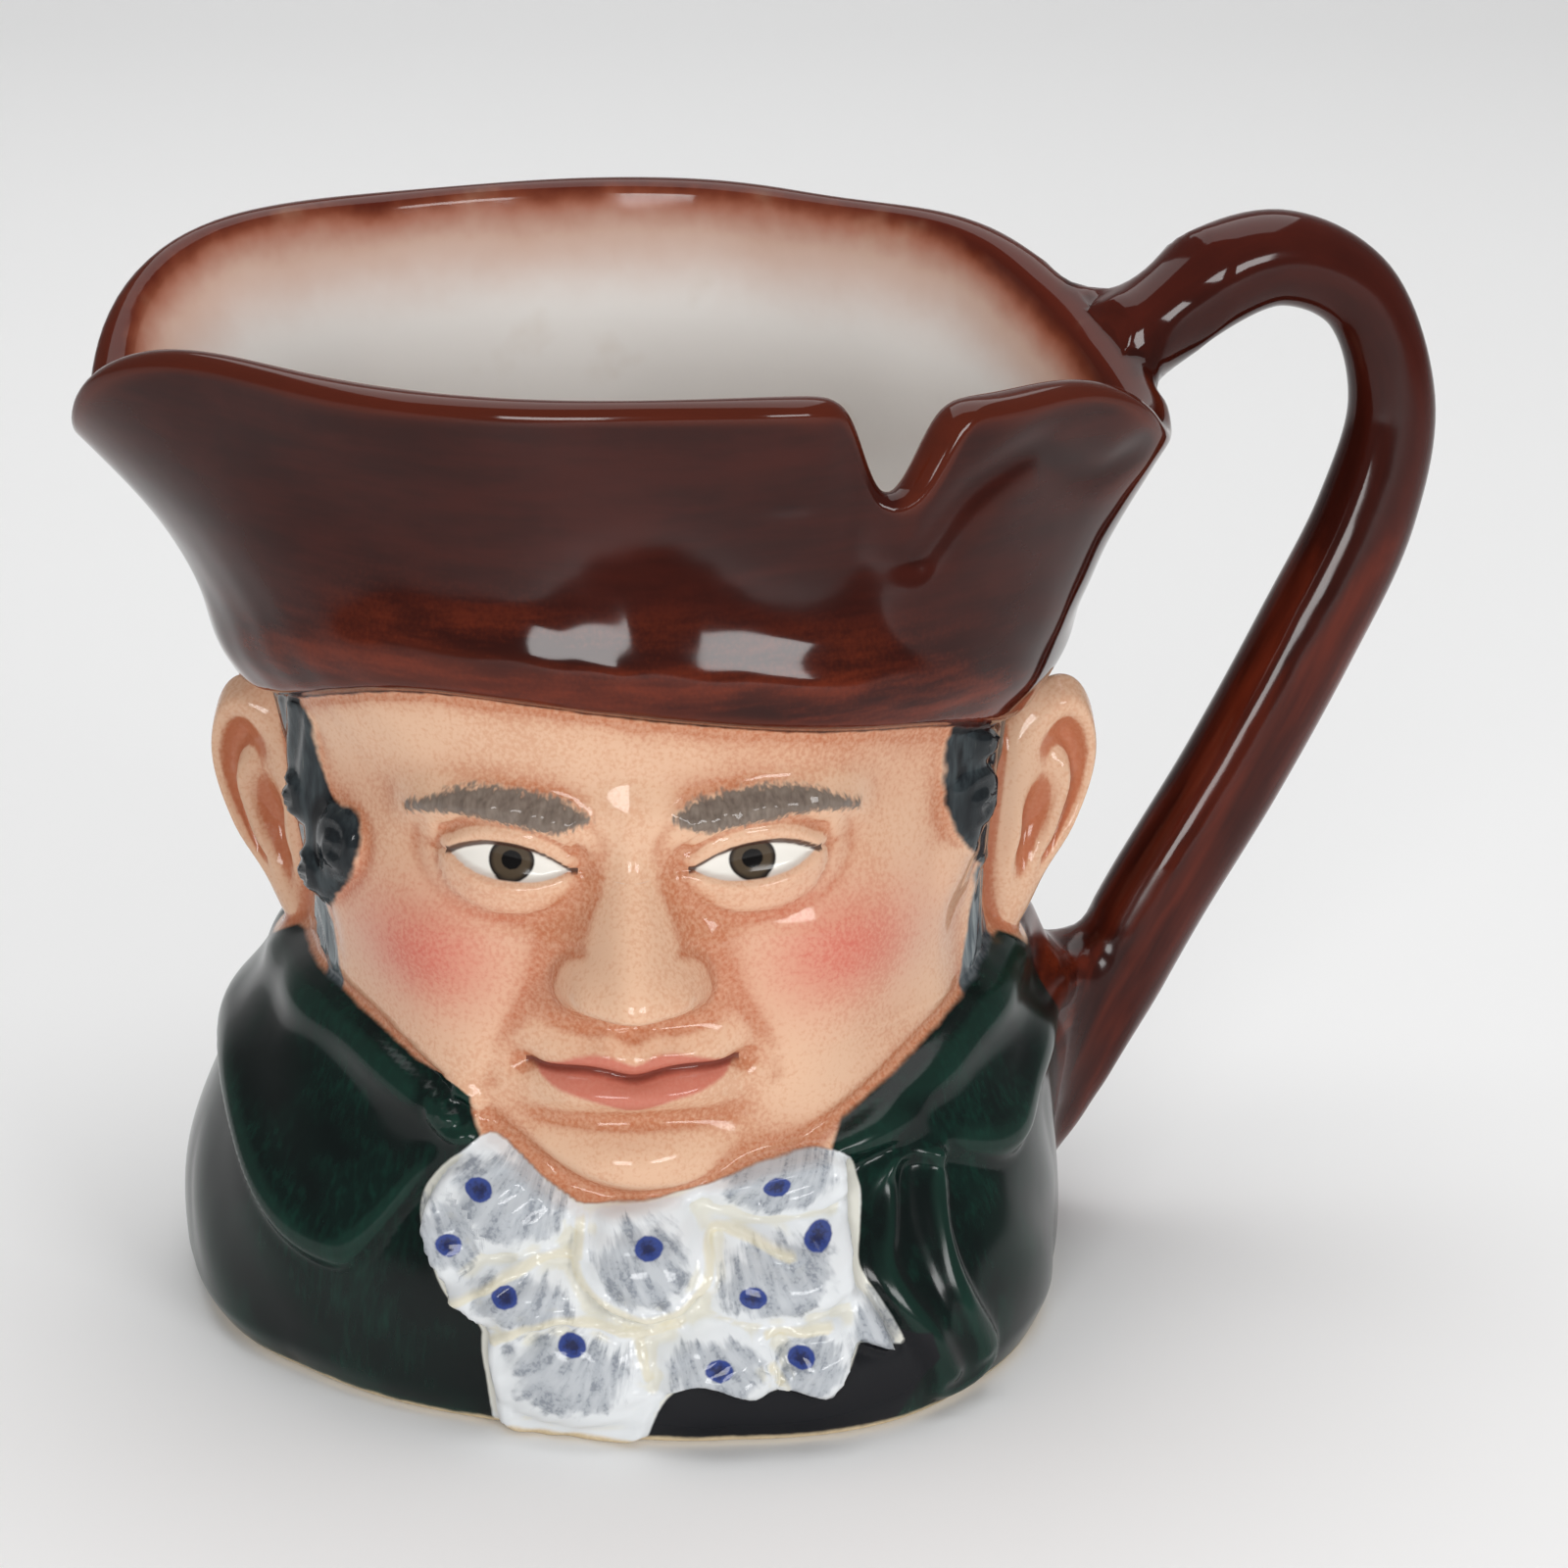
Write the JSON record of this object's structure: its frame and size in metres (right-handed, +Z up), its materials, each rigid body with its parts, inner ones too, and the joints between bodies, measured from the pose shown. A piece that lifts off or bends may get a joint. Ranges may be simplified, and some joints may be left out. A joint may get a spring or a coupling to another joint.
{
  "type": "toby jug",
  "caption": "Glazed earthenware toby jug: a man's head in a three-cornered hat that opens at the top, with a looped handle.",
  "frame": {"origin": "centre of the foot's flat underside, at the height of the surface that the jug stands on", "axes": "+Z up, the face looks along -Y, and the handle stands on the +X side"},
  "size_m": [0.1813, 0.116, 0.1409],
  "materials": {
    "glazed_earthenware": "hand-painted under a clear gloss glaze: red-brown hat and handle, flesh face, dark green coat, white neckcloth"
  },
  "bodies": {
    "root": {"toby_jug": "glazed_earthenware"}
  },
  "joints": []
}
